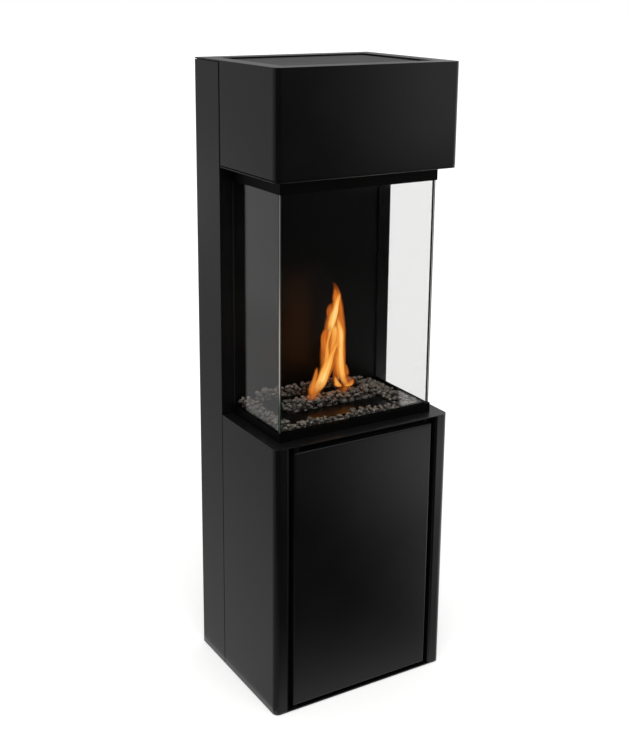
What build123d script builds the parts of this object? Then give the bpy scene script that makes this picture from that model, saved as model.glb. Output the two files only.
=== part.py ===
from build123d import *

import math
import os

# Free-standing bioethanol fireplace. A rear column carries a hood over a fire behind three panes of
# glass, and a cabinet with a flush door stands under it. Millimetres, +Z up, the door faces -Y, and
# the origin is on the floor under the centre of the footprint.

os.makedirs("parts", exist_ok=True)

# ---- Overall sizes -------------------------------------------------------------------------------
width = 500.0  # side to side
depth = 400.0  # back edge to door face
height = 1580.0  # floor to top rim
column_depth = 125.0  # the full-height part at the back
cabinet_height = 702.0  # floor to the cabinet's top face
hood_height = 252.0  # hood's underside to top rim
corner_radius = 15.0  # outside radius of the folded front corners

# ---- Stock ---------------------------------------------------------------------------------------
sheet = 1.5  # folded panels
plate = 3.0  # base and top frame
seam_gap = 3.0  # shadow line between the column and the cabinet
hood_seam_gap = 6.0  # wider shadow line between the column and the hood
fit_gap = 0.5  # round panels that drop in

# ---- Base ----------------------------------------------------------------------------------------
pad_thickness = 2.0
pad_radius = 20.0
pad_inset = 45.0  # pad centres, in from the edges

# ---- Column --------------------------------------------------------------------------------------
cap_gap = 1.5  # dark line between the column's sides and the top frame
cover_recess = 4.0  # rear cover's face, in from the back edge
flange_width = 20.0
rail_leg = 22.0
back_overlap = 30.0  # cabinet's back panel stops this far under the cabinet's top
insulation_thickness = 25.0
insulation_inset = 50.0  # board's ends, in from the sides
insulation_margin = 20.0  # over the cabinet and under the upper cross plate
lower_shelf_drop = 80.0  # lower cross plate, under the cabinet's top
wall_rail_drop = 80.0  # wall rail's centre, under the top rim
wall_rail_height = 30.0
wall_hole_spacing = 300.0
wall_hole_radius = 3.5
vent_length = 120.0
vent_width = 6.0
vent_pitch = 16.0
vent_rows = 6
vent_column_spacing = 200.0
lower_vent_rise = 150.0  # lower vents' centre, over the floor
upper_vent_drop = 180.0  # upper vents' centre, under the top rim

# ---- Cabinet and door ----------------------------------------------------------------------------
post_width = 38.0  # front posts, outside face to jamb
post_edge_round = 6.0  # where a post turns in beside the door
door_gap_side = 13.0
door_gap_top = 16.0  # from the cabinet top's underside
door_gap_bottom = 9.0  # from the base plate
door_thickness = 18.0
door_edge_round = 4.0
bumper_height = 5.0
bumper_radius = 4.0
bumper_end = 60.0  # bumper centres, in from the door's ends
door_lap = 12.0  # how far the stop frame reaches behind the door's edges
pivot_inset = 8.0  # pivot axis, in from the door's edge
pin_radius = 4.0
running_clearance = 0.05
pin_end_clearance = 0.2
bush_radius = 8.0
bush_floor = 2.0
bush_door_clearance = 1.0
pin_hole_clearance = 0.5
pivot_block_height = 26.0
bracket_leg = 30.0
bracket_thickness = 2.0
bracket_height = 50.0
cabinet_bracket_end = 120.0  # brackets, in from the cabinet side's ends
shelf_lip = 20.0
shelf_set_back = 20.0
lug_width = 16.0
lug_reach = 12.0
lug_thickness = 3.0
lug_inset = 40.0

# ---- Push latch ----------------------------------------------------------------------------------
latch_inset = 25.0  # plunger axis, in from the door's free edge
latch_drop = 60.0  # plunger axis, under the door's top
strike_thickness = 1.5
strike_width = 20.0
strike_height = 44.0
plunger_radius = 5.0
plunger_length = 34.0
plunger_travel = 4.0
plunger_edge = 0.5
latch_body_width = 20.0
latch_body_wall = 3.0
spring_pressed = 12.0  # spring's length with the plunger in
spring_radius = 4.2
spring_wire = 0.8
latch_bracket_height = 44.0
latch_hole_clearance = 1.0

# ---- Screws --------------------------------------------------------------------------------------
screw_radius = 2.0
screw_hole_clearance = 0.2
screw_head_radius = 4.0
screw_head_height = 2.2
screw_tail = 3.0  # how far a shank comes through
cover_screw_rows = 5
cover_screw_end = 40.0
latch_screw_spacing = 28.0
strike_screw_spacing = 30.0

# ---- Glass and its channels ----------------------------------------------------------------------
glass_side_inset = 34.0  # outside face of the side panes, in from the sides
glass_front_inset = 40.0  # outside face of the front pane, in from the front
glass_thickness = 6.0
glass_arris = 0.5
glass_joint = 1.0  # between the front pane's back and the side panes' front ends
glass_seal = 2.0  # between a side pane's rear edge and the column's front
channel_gap = 1.5
rim_band = 23.0  # lower channel's height
collar_band = 33.0  # upper channel's height
seat_height = 7.5
seat_length = 40.0
glass_grip = 12.0  # how far the panes reach up into the upper channel
seat_inset = 50.0  # seat block centres, in from the panes' ends

# ---- Tray, burner and stones ---------------------------------------------------------------------
tray_floor_height = 12.0
tray_wall_height = 19.0
side_bed = 41.5  # bed of stones on each side of the burner plate
front_bed = 33.0
back_bed = 18.5
burner_height = 22.0  # top of the burner plate, over the cabinet's top
burner_sheet = 2.0
slot_end = 35.0  # slot's ends, in from the burner plate's ends
slot_width = 46.0
tank_margin = 10.0  # tank's reach beyond the slot
tank_depth = 72.0
tank_clearance = 1.5
mesh_drop = 8.0  # wool's mesh, under the plate's top
mesh_thickness = 1.0
mesh_hole_radius = 3.0
mesh_pitch = 12.0
stone_pitch = 21.0
stone_gap = 1.0
stone_thickness = 14.0
stone_layer_gap = 0.2
stone_turn = 22.0  # degrees, the most that a stone is turned either way
stone_clearance = 0.5

# ---- Hood and top --------------------------------------------------------------------------------
ring_thickness = 3.0
ring_edge_round = 1.5
ring_rear_bar = 8.0
ring_rim_height = 15.0
shadow_line = 3.0  # dark line between the ring and the hood
hood_bracket_end = 40.0  # brackets, in from the ring's rim and from the top frame
rim_side = 45.0  # top frame's width at the sides
rim_end = 50.0  # top frame's width at front and back
rim_flange = 12.0
outlet_gap = 8.0  # hot-air gap round the sunken panel
panel_drop = 4.0
panel_thickness = 2.0
tab_reach = 40.0
tab_width = 25.0
tab_thickness = 3.0
tab_inset = 52.0  # tab centres, in from the panel's front and back

# ---- Places worked out from the sizes ------------------------------------------------------------
half_width = width / 2
inner_x = half_width - sheet
front_y = -depth / 2
back_y = depth / 2
seam_y = back_y - column_depth
body_back_y = seam_y - seam_gap  # rear edge of the cabinet
hood_back_y = seam_y - hood_seam_gap
base_top = pad_thickness + plate
cabinet_under = cabinet_height - sheet
rim_top = cabinet_height + rim_band
hood_under = height - hood_height
collar_under = hood_under - collar_band
ring_top = hood_under + ring_thickness
top_under = height - plate
column_top = top_under - cap_gap
cover_y = back_y - cover_recess
flange_back_y = cover_y - sheet
flange_front_y = flange_back_y - sheet
wall_front_y = seam_y + sheet
wall_back_y = wall_front_y + sheet
back_split_z = cabinet_height - back_overlap
wall_rail_z = height - wall_rail_drop
upper_vent_z = height - upper_vent_drop

jamb_x = half_width - post_width
door_half = jamb_x - door_gap_side
door_bottom = base_top + door_gap_bottom
door_top = cabinet_under - door_gap_top
door_back_y = front_y + door_thickness
stop_y = door_back_y + bumper_height
pivot_x = -door_half + pivot_inset
pivot_y = front_y + door_thickness / 2
latch_x = door_half - latch_inset
latch_z = door_top - latch_drop
latch_front_y = stop_y + sheet + bracket_thickness
plunger_front_y = door_back_y + strike_thickness
plunger_back_y = plunger_front_y + plunger_length
bore_back_y = plunger_back_y + spring_pressed + plunger_travel
latch_back_y = bore_back_y + latch_body_wall
screw_hole_radius = screw_radius + screw_hole_clearance

glass_outer_x = half_width - glass_side_inset
glass_front_y = front_y + glass_front_inset
glass_inner_x = glass_outer_x - glass_thickness
glass_inner_y = glass_front_y + glass_thickness
glass_rear_y = seam_y - glass_seal
side_pane_y = glass_inner_y + glass_joint  # where the side panes begin
glass_bottom = cabinet_height + sheet + seat_height
glass_top = collar_under + glass_grip
channel_outer_x = glass_outer_x + channel_gap + sheet
channel_front_y = glass_front_y - channel_gap - sheet
channel_inner_x = glass_inner_x - channel_gap - sheet
channel_inner_y = glass_inner_y + channel_gap + sheet

tray_x = channel_inner_x - fit_gap
tray_front_y = channel_inner_y + fit_gap
tray_back_y = wall_front_y - fit_gap
tray_floor = cabinet_height + tray_floor_height
burner_top = cabinet_height + burner_height
burner_under = burner_top - burner_sheet
burner_x = tray_x - side_bed
burner_front_y = tray_front_y + front_bed
burner_back_y = tray_back_y - back_bed
burner_y = (burner_front_y + burner_back_y) / 2  # centre of the plate, its slot and the tank
slot_x = burner_x - slot_end
tank_x = slot_x + tank_margin
tank_y = slot_width / 2 + tank_margin  # half its width
tank_bottom = burner_under - tank_depth
mesh_top = burner_top - mesh_drop

opening_x = half_width - rim_side
opening_y = depth / 2 - rim_end
panel_top = height - panel_drop
panel_under = panel_top - panel_thickness


# ---- Helpers -------------------------------------------------------------------------------------
def block(x0, x1, y0, y1, z0, z1, mode=Mode.ADD):
    """A box between two corners, in the part that is being built."""
    with Locations(((x0 + x1) / 2, (y0 + y1) / 2, (z0 + z1) / 2)):
        Box(abs(x1 - x0), abs(y1 - y0), abs(z1 - z0), mode=mode)


def area(x0, x1, y0, y1, mode=Mode.ADD):
    """A rectangle between two corners, in the sketch that is being drawn."""
    with Locations(((x0 + x1) / 2, (y0 + y1) / 2)):
        Rectangle(abs(x1 - x0), abs(y1 - y0), mode=mode)


def rod_along_y(x, z, y0, y1, radius, mode=Mode.ADD):
    """A round bar or hole parallel to Y."""
    with Locations(Location((x, (y0 + y1) / 2, z), (90, 0, 0))):
        Cylinder(radius, abs(y1 - y0), mode=mode)


def rod_along_z(x, y, z0, z1, radius, mode=Mode.ADD):
    """A round bar or hole parallel to Z."""
    with Locations((x, y, (z0 + z1) / 2)):
        Cylinder(radius, abs(z1 - z0), mode=mode)


def finish(name, piece):
    """Labels a finished piece and writes it to its own file."""
    piece.part.label = name
    export_step(piece.part, f"parts/{name}.step")


def rows(low, high, count):
    """Evenly spaced values from low to high."""
    return [low + (high - low) * i / (count - 1) for i in range(count)]


# ---- Base ----------------------------------------------------------------------------------------
with BuildPart() as base_plate:
    with BuildSketch(Plane.XY.offset(pad_thickness)) as base_outline:
        Rectangle(width, depth)
        fillet(base_outline.vertices().group_by(Axis.Y)[0], corner_radius)
    extrude(amount=plate)
finish("base_plate", base_plate)

with BuildPart() as floor_pads:
    with GridLocations(width - 2 * pad_inset, depth - 2 * pad_inset, 2, 2):
        Cylinder(pad_radius, pad_thickness, align=(Align.CENTER, Align.CENTER, Align.MIN))
finish("floor_pads", floor_pads)

# ---- Column --------------------------------------------------------------------------------------
cover_screw_x = half_width - flange_width / 2
cover_screw_z = rows(base_top + cover_screw_end, column_top - cover_screw_end, cover_screw_rows)
cover_screws = [(side * cover_screw_x, z) for side in (-1, 1) for z in cover_screw_z]


def column_side(side):
    """Side sheet with its strip beside the glass and the flange that the rear cover screws to."""
    with BuildPart() as piece:
        with BuildSketch(Plane.XY.offset(base_top)):
            area(side * inner_x, side * half_width, seam_y, back_y)
            area(side * glass_outer_x, side * half_width, seam_y, wall_front_y)
            flange_edge_x = half_width - flange_width
            area(side * flange_edge_x, side * half_width, flange_front_y, flange_back_y)
        extrude(amount=column_top - base_top)
        for z in cover_screw_z:
            hole_x = side * cover_screw_x
            rod_along_y(hole_x, z, flange_front_y, flange_back_y, screw_hole_radius, Mode.SUBTRACT)
    return piece


finish("column_left_side", column_side(-1))
finish("column_right_side", column_side(1))

wall_holes = [(side * wall_hole_spacing / 2, wall_rail_z) for side in (-1, 1)]

with BuildPart() as rear_cover:
    cover_x = inner_x - fit_gap
    block(-cover_x, cover_x, flange_back_y, cover_y, base_top + fit_gap, column_top - fit_gap)
    for x, z in cover_screws:
        rod_along_y(x, z, flange_back_y, cover_y, screw_hole_radius, Mode.SUBTRACT)
    for x, z in wall_holes:
        rod_along_y(x, z, flange_back_y, cover_y, wall_hole_radius, Mode.SUBTRACT)
    for group_z in (lower_vent_rise, upper_vent_z):
        with BuildSketch(Plane.XZ.offset(-cover_y)):
            with Locations((0, group_z)):
                with GridLocations(vent_column_spacing, vent_pitch, 2, vent_rows):
                    SlotOverall(vent_length, vent_width)
        extrude(amount=sheet, mode=Mode.SUBTRACT)
finish("rear_cover", rear_cover)

with BuildPart() as rear_cover_screws:
    for x, z in cover_screws:
        rod_along_y(x, z, cover_y, cover_y + screw_head_height, screw_head_radius)
        rod_along_y(x, z, flange_front_y - screw_tail, cover_y, screw_radius)
finish("rear_cover_screws", rear_cover_screws)

with BuildPart() as wall_fixing_rail:
    rail_low = wall_rail_z - wall_rail_height / 2
    rail_high = wall_rail_z + wall_rail_height / 2
    block(-inner_x, inner_x, flange_front_y - plate, flange_front_y, rail_low, rail_high)
    for x, z in wall_holes:
        rod_along_y(x, z, flange_front_y - plate, flange_front_y, wall_hole_radius, Mode.SUBTRACT)
finish("wall_fixing_rail", wall_fixing_rail)

with BuildPart() as rear_top_rail:
    leg_front_y = flange_front_y - rail_leg
    block(-inner_x, inner_x, leg_front_y, flange_front_y, top_under - sheet, top_under)
    leg_low = top_under - rail_leg
    block(-inner_x, inner_x, flange_front_y - sheet, flange_front_y, leg_low, top_under)
    for x, z in cover_screws:
        screw_y = flange_front_y - screw_tail
        rod_along_y(x, z, screw_y, flange_front_y, screw_hole_radius, Mode.SUBTRACT)
finish("rear_top_rail", rear_top_rail)

for shelf_name, shelf_top in (
    ("column_lower_shelf", cabinet_height - lower_shelf_drop),
    ("column_upper_shelf", hood_under),
):
    with BuildPart() as column_shelf:
        block(-inner_x, inner_x, wall_back_y, flange_front_y, shelf_top - sheet, shelf_top)
    finish(shelf_name, column_shelf)

with BuildPart() as firebox_back_wall:
    block(-inner_x, inner_x, wall_front_y, wall_back_y, back_split_z, ring_top)
finish("firebox_back_wall", firebox_back_wall)

with BuildPart() as back_wall_insulation:
    board_low = cabinet_height + insulation_margin
    board_high = hood_under - sheet - insulation_margin
    board_x = half_width - insulation_inset
    board_back_y = wall_back_y + insulation_thickness
    block(-board_x, board_x, wall_back_y, board_back_y, board_low, board_high)
finish("back_wall_insulation", back_wall_insulation)


# ---- Cabinet -------------------------------------------------------------------------------------
def cabinet_side(side):
    """Side sheet that folds round the front corner into the post and its jamb."""
    with BuildPart() as piece:
        with BuildSketch(Plane.XY.offset(base_top)) as section:
            area(-half_width, -jamb_x, front_y, body_back_y)
            outer_corner = section.vertices().group_by(Axis.Y)[0].sort_by(Axis.X)[0]
            fillet(outer_corner, corner_radius)
            jamb_corner = section.vertices().group_by(Axis.Y)[0].sort_by(Axis.X)[-1]
            fillet(jamb_corner, post_edge_round)
            offset(amount=-sheet, mode=Mode.SUBTRACT)
            area(-inner_x, -jamb_x, stop_y, body_back_y, Mode.SUBTRACT)
        extrude(amount=cabinet_under - base_top)
        if side > 0:
            mirror(about=Plane.YZ, mode=Mode.REPLACE)
    return piece


finish("cabinet_left_side", cabinet_side(-1))
finish("cabinet_right_side", cabinet_side(1))

with BuildPart() as cabinet_back_panel:
    block(-inner_x, inner_x, wall_front_y, wall_back_y, base_top, back_split_z)
finish("cabinet_back_panel", cabinet_back_panel)

with BuildPart() as cabinet_top_plate:
    with BuildSketch(Plane.XY.offset(cabinet_under)) as cabinet_outline:
        area(-half_width, half_width, front_y, body_back_y)
        fillet(cabinet_outline.vertices().group_by(Axis.Y)[0], corner_radius)
        cut_x = tank_x + tank_clearance
        cut_y = tank_y + tank_clearance
        area(-cut_x, cut_x, burner_y - cut_y, burner_y + cut_y, Mode.SUBTRACT)
    extrude(amount=sheet)
finish("cabinet_top_plate", cabinet_top_plate)


def corner_brackets(levels, side_back_y):
    """Angles that screw to a side sheet's inside and to the column's front strip."""
    with BuildPart() as piece:
        for side in (-1, 1):
            for low in levels:
                high = low + bracket_height
                leg_x = side * (inner_x - bracket_thickness)
                block(leg_x, side * inner_x, side_back_y - bracket_leg, seam_y, low, high)
                foot_x = side * (inner_x - bracket_leg)
                block(foot_x, side * inner_x, seam_y - bracket_thickness, seam_y, low, high)
    return piece


cabinet_bracket_low = base_top + cabinet_bracket_end
cabinet_bracket_high = cabinet_under - cabinet_bracket_end - bracket_height
cabinet_bracket_levels = (cabinet_bracket_low, cabinet_bracket_high)
finish("cabinet_brackets", corner_brackets(cabinet_bracket_levels, body_back_y))

latch_bracket_edge_x = jamb_x - fit_gap
latch_screw_x = (door_half - door_lap + latch_bracket_edge_x) / 2
latch_screws_at = [(latch_screw_x, latch_z + k * latch_screw_spacing / 2) for k in (-1, 1)]

with BuildPart() as door_stop_frame:
    lip_x = door_half - door_lap
    block(-jamb_x, jamb_x, stop_y, stop_y + sheet, base_top, cabinet_under)
    lip_low = door_bottom + door_lap
    lip_high = door_top - door_lap
    block(-lip_x, lip_x, stop_y, stop_y + sheet, lip_low, lip_high, Mode.SUBTRACT)
    for x, z in latch_screws_at:
        rod_along_y(x, z, stop_y, stop_y + sheet, screw_hole_radius, Mode.SUBTRACT)
finish("door_stop_frame", door_stop_frame)

with BuildPart() as door_bumpers:
    bumper_x = door_half - door_lap / 2
    for z in (door_bottom + bumper_end, door_top - bumper_end / 2):
        rod_along_y(bumper_x, z, door_back_y, stop_y, bumper_radius)
finish("door_bumpers", door_bumpers)

shelf_z = (base_top + cabinet_under) / 2
shelf_front_y = stop_y + sheet + shelf_set_back
shelf_back_y = wall_front_y - fit_gap

with BuildPart() as fuel_shelf:
    shelf_x = inner_x - fit_gap
    block(-shelf_x, shelf_x, shelf_front_y, shelf_back_y, shelf_z - sheet, shelf_z)
    block(-shelf_x, shelf_x, shelf_front_y, shelf_front_y + sheet, shelf_z - shelf_lip, shelf_z)
    for side in (-1, 1):
        notch_x = side * (glass_outer_x - fit_gap)
        notch_y = body_back_y - fit_gap
        block(notch_x, side * shelf_x, notch_y, shelf_back_y, shelf_z - sheet, shelf_z, Mode.SUBTRACT)
finish("fuel_shelf", fuel_shelf)

with BuildPart() as shelf_lugs:
    lug_top = shelf_z - sheet
    for side in (-1, 1):
        for y in (shelf_front_y + lug_inset, body_back_y - lug_inset):
            lug_x = side * (inner_x - lug_reach)
            lug_low = lug_top - lug_thickness
            block(lug_x, side * inner_x, y - lug_width / 2, y + lug_width / 2, lug_low, lug_top)
finish("shelf_lugs", shelf_lugs)

# ---- Door ----------------------------------------------------------------------------------------
pan_x = door_half - sheet
pan_y = front_y + sheet
pan_low = door_bottom + sheet
pan_high = door_top - sheet

with BuildPart() as pan_inside:
    block(-pan_x, pan_x, pan_y, door_back_y, pan_low, pan_high)
    fillet(pan_inside.faces().sort_by(Axis.Y)[0].edges(), door_edge_round - sheet)

with BuildPart() as door_skin:
    block(-door_half, door_half, front_y, door_back_y, door_bottom, door_top)
    fillet(door_skin.faces().sort_by(Axis.Y)[0].edges(), door_edge_round)
    add(pan_inside.part, mode=Mode.SUBTRACT)
    pin_hole_radius = pin_radius + pin_hole_clearance
    rod_along_z(pivot_x, pivot_y, door_bottom, pan_low, pin_hole_radius, Mode.SUBTRACT)
    rod_along_z(pivot_x, pivot_y, pan_high, door_top, pin_hole_radius, Mode.SUBTRACT)
finish("door_skin", door_skin)

strike_screws_at = [(latch_x, latch_z + k * strike_screw_spacing / 2) for k in (-1, 1)]
door_inside_y = door_back_y - sheet

with BuildPart() as door_back_panel:
    block(-pan_x, pan_x, door_inside_y, door_back_y, pan_low, pan_high)
    for x, z in strike_screws_at:
        rod_along_y(x, z, door_inside_y, door_back_y, screw_hole_radius, Mode.SUBTRACT)
finish("door_back_panel", door_back_panel)

block_reach = pivot_inset - sheet  # from the pivot axis to the pan's side
block_front_y = front_y + door_edge_round  # where the pan's walls run straight

with BuildPart() as door_pivot_bottom:
    block_top = pan_low + pivot_block_height
    pivot_block_x = (pivot_x - block_reach, pivot_x + block_reach)
    block(*pivot_block_x, block_front_y, door_inside_y, pan_low, block_top)
    pin_low = base_top + bush_floor + pin_end_clearance
    rod_along_z(pivot_x, pivot_y, pin_low, block_top, pin_radius)
finish("door_pivot_bottom", door_pivot_bottom)

with BuildPart() as door_pivot_top:
    block_bottom = pan_high - pivot_block_height
    block(*pivot_block_x, block_front_y, door_inside_y, block_bottom, pan_high)
    pin_high = cabinet_under - bush_floor - pin_end_clearance
    rod_along_z(pivot_x, pivot_y, block_bottom, pin_high, pin_radius)
finish("door_pivot_top", door_pivot_top)

bush_bore_radius = pin_radius + running_clearance

with BuildPart() as pivot_bush_bottom:
    bush_top = door_bottom - bush_door_clearance
    rod_along_z(pivot_x, pivot_y, base_top, bush_top, bush_radius)
    bore_low = base_top + bush_floor
    rod_along_z(pivot_x, pivot_y, bore_low, bush_top, bush_bore_radius, Mode.SUBTRACT)
finish("pivot_bush_bottom", pivot_bush_bottom)

with BuildPart() as pivot_bush_top:
    bush_bottom = door_top + bush_door_clearance
    rod_along_z(pivot_x, pivot_y, bush_bottom, cabinet_under, bush_radius)
    bore_high = cabinet_under - bush_floor
    rod_along_z(pivot_x, pivot_y, bush_bottom, bore_high, bush_bore_radius, Mode.SUBTRACT)
finish("pivot_bush_top", pivot_bush_top)

# ---- Push latch ----------------------------------------------------------------------------------
strike_x = (latch_x - strike_width / 2, latch_x + strike_width / 2)
strike_z = (latch_z - strike_height / 2, latch_z + strike_height / 2)

with BuildPart() as strike_plate:
    block(*strike_x, door_back_y, plunger_front_y, *strike_z)
    for x, z in strike_screws_at:
        rod_along_y(x, z, door_back_y, plunger_front_y, screw_hole_radius, Mode.SUBTRACT)
finish("strike_plate", strike_plate)

with BuildPart() as strike_screws:
    for x, z in strike_screws_at:
        head_y = plunger_front_y + screw_head_height
        rod_along_y(x, z, plunger_front_y, head_y, screw_head_radius)
        rod_along_y(x, z, door_inside_y - screw_tail, plunger_front_y, screw_radius)
finish("strike_screws", strike_screws)

with BuildPart() as latch_bracket:
    bracket_z = (latch_z - latch_bracket_height / 2, latch_z + latch_bracket_height / 2)
    bracket_x0 = latch_x - latch_body_width / 2
    block(bracket_x0, latch_bracket_edge_x, stop_y + sheet, latch_front_y, *bracket_z)
    hole_radius = plunger_radius + latch_hole_clearance
    rod_along_y(latch_x, latch_z, stop_y + sheet, latch_front_y, hole_radius, Mode.SUBTRACT)
    for x, z in latch_screws_at:
        rod_along_y(x, z, stop_y + sheet, latch_front_y, screw_hole_radius, Mode.SUBTRACT)
finish("latch_bracket", latch_bracket)

with BuildPart() as latch_screws:
    for x, z in latch_screws_at:
        rod_along_y(x, z, latch_front_y, latch_front_y + screw_head_height, screw_head_radius)
        rod_along_y(x, z, stop_y, latch_front_y, screw_radius)
finish("latch_screws", latch_screws)

with BuildPart() as latch_body:
    body_half = latch_body_width / 2
    body_x = (latch_x - body_half, latch_x + body_half)
    block(*body_x, latch_front_y, latch_back_y, latch_z - body_half, latch_z + body_half)
    latch_bore_radius = plunger_radius + running_clearance
    rod_along_y(latch_x, latch_z, latch_front_y, bore_back_y, latch_bore_radius, Mode.SUBTRACT)
finish("latch_body", latch_body)

with BuildPart() as latch_plunger:
    rod_along_y(latch_x, latch_z, plunger_front_y, plunger_back_y, plunger_radius)
    chamfer(latch_plunger.edges().filter_by(GeomType.CIRCLE), plunger_edge)
finish("latch_plunger", latch_plunger)

with BuildPart() as latch_spring:
    rod_along_y(latch_x, latch_z, plunger_back_y, bore_back_y, spring_radius)
    spring_bore = spring_radius - spring_wire
    rod_along_y(latch_x, latch_z, plunger_back_y, bore_back_y, spring_bore, Mode.SUBTRACT)
finish("latch_spring", latch_spring)


# ---- Glass and its channels ----------------------------------------------------------------------
def glass_channel(low, high, web_low):
    """Three-sided channel round the fire, open at the back, with its web at web_low."""
    with BuildPart() as piece:
        with BuildSketch(Plane.XY.offset(low)):
            area(-channel_outer_x, channel_outer_x, channel_front_y, seam_y)
            area(-channel_inner_x, channel_inner_x, channel_inner_y, seam_y, Mode.SUBTRACT)
        extrude(amount=high - low)
        groove_low = low if web_low > low else low + sheet
        with BuildSketch(Plane.XY.offset(groove_low)):
            groove_x = channel_outer_x - sheet
            area(-groove_x, groove_x, channel_front_y + sheet, seam_y)
            core_x = channel_inner_x + sheet
            area(-core_x, core_x, channel_inner_y - sheet, seam_y, Mode.SUBTRACT)
        extrude(amount=high - low - sheet, mode=Mode.SUBTRACT)
    return piece


finish("lower_glass_frame", glass_channel(cabinet_height, rim_top, cabinet_height))
finish("upper_glass_frame", glass_channel(collar_under, hood_under, hood_under - sheet))

for pane_name, side in (("glass_left", -1), ("glass_right", 1)):
    with BuildPart() as side_pane:
        pane_x = (side * glass_inner_x, side * glass_outer_x)
        block(*pane_x, side_pane_y, glass_rear_y, glass_bottom, glass_top)
        chamfer(side_pane.edges(), glass_arris)
    finish(pane_name, side_pane)

with BuildPart() as glass_front:
    front_x = (-glass_outer_x, glass_outer_x)
    block(*front_x, glass_front_y, glass_inner_y, glass_bottom, glass_top)
    chamfer(glass_front.edges(), glass_arris)
finish("glass_front", glass_front)

with BuildPart() as glass_seat_blocks:
    seat_low = cabinet_height + sheet
    half_seat = seat_length / 2
    for x in (seat_inset - glass_outer_x, glass_outer_x - seat_inset):
        block(x - half_seat, x + half_seat, glass_front_y, glass_inner_y, seat_low, glass_bottom)
    for side in (-1, 1):
        for y in (side_pane_y + seat_inset, glass_rear_y - seat_inset):
            seat_side = (side * glass_inner_x, side * glass_outer_x)
            block(*seat_side, y - half_seat, y + half_seat, seat_low, glass_bottom)
finish("glass_seat_blocks", glass_seat_blocks)

with BuildPart() as glass_rear_seals:
    for side in (-1, 1):
        seal_x = (side * glass_inner_x, side * glass_outer_x)
        block(*seal_x, glass_rear_y, wall_front_y, glass_bottom, glass_top)
finish("glass_rear_seals", glass_rear_seals)

# ---- Tray and burner -----------------------------------------------------------------------------
tank_front_y = burner_y - tank_y
tank_back_y = burner_y + tank_y
tray_inside_x = tray_x - sheet
tray_inside_front_y = tray_front_y + sheet
tray_inside_back_y = tray_back_y - sheet
tray_wall_top = cabinet_height + tray_wall_height

with BuildPart() as stone_tray:
    block(-tray_x, tray_x, tray_front_y, tray_back_y, cabinet_height, tray_wall_top)
    inside = (-tray_inside_x, tray_inside_x, tray_inside_front_y, tray_inside_back_y)
    block(*inside, tray_floor, tray_wall_top, Mode.SUBTRACT)
    block(*inside, cabinet_height, tray_floor - sheet, Mode.SUBTRACT)
    cut = (-cut_x, cut_x, burner_y - cut_y, burner_y + cut_y)
    block(*cut, tray_floor - sheet, tray_floor, Mode.SUBTRACT)
finish("stone_tray", stone_tray)

with BuildPart() as burner_top_plate:
    block(-burner_x, burner_x, burner_front_y, burner_back_y, tray_floor, burner_top)
    skirt_x = burner_x - burner_sheet
    skirt_y = (burner_front_y + burner_sheet, burner_back_y - burner_sheet)
    block(-skirt_x, skirt_x, *skirt_y, tray_floor, burner_under, Mode.SUBTRACT)
    slot_y = (burner_y - slot_width / 2, burner_y + slot_width / 2)
    block(-slot_x, slot_x, *slot_y, burner_under, burner_top, Mode.SUBTRACT)
finish("burner_top_plate", burner_top_plate)

bowl_x = tank_x - sheet
bowl_y = (tank_front_y + sheet, tank_back_y - sheet)
bowl_low = tank_bottom + sheet

with BuildPart() as burner_tank:
    block(-tank_x, tank_x, tank_front_y, tank_back_y, tank_bottom, burner_under)
    block(-bowl_x, bowl_x, *bowl_y, bowl_low, burner_under, Mode.SUBTRACT)
finish("burner_tank", burner_tank)

with BuildPart() as ceramic_wool:
    block(-bowl_x, bowl_x, *bowl_y, bowl_low, mesh_top - mesh_thickness)
finish("ceramic_wool", ceramic_wool)

with BuildPart() as wool_mesh:
    block(-bowl_x, bowl_x, *bowl_y, mesh_top - mesh_thickness, mesh_top)
    mesh_columns = int(2 * slot_x // mesh_pitch)
    mesh_lines = int(slot_width // mesh_pitch)
    with Locations((0, burner_y, mesh_top - mesh_thickness / 2)):
        with GridLocations(mesh_pitch, mesh_pitch, mesh_columns, mesh_lines):
            Cylinder(mesh_hole_radius, mesh_thickness, mode=Mode.SUBTRACT)
finish("wool_mesh", wool_mesh)


# ---- Stones --------------------------------------------------------------------------------------
def pebble(breadth, thickness):
    """A faceted stone: an eight-sided block with its top and bottom edges cut away."""
    with BuildPart() as piece:
        with BuildSketch():
            RegularPolygon(breadth / 2, 8)
        extrude(amount=thickness)
        rims = piece.edges().filter_by(GeomType.LINE).group_by(Axis.Z)
        chamfer(rims[0] + rims[-1], thickness / 4)
    return piece.part


def stone_field(x0, x1, y0, y1, low, layers=1):
    """Stones on a grid that fills a rectangle, each turned a little differently."""
    across = max(1, int((x1 - x0) // stone_pitch))
    along = max(1, int((y1 - y0) // stone_pitch))
    breadth = min((x1 - x0) / across, (y1 - y0) / along, stone_pitch) - stone_gap
    places = []
    for layer in range(layers):
        z = low + layer * (stone_thickness + stone_layer_gap)
        for i in range(across - layer):
            x = x0 + (x1 - x0) * (i + 0.5 + layer / 2) / across
            for j in range(along):
                y = y0 + (y1 - y0) * (j + 0.5) / along
                turn = stone_turn * math.sin(5.0 * i + 3.0 * j + 2.0 * layer)
                places.append(Location((x, y, z), (0, 0, turn)))
    with BuildPart() as piece:
        with Locations(*places):
            add(pebble(breadth, stone_thickness))
    return piece


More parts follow.
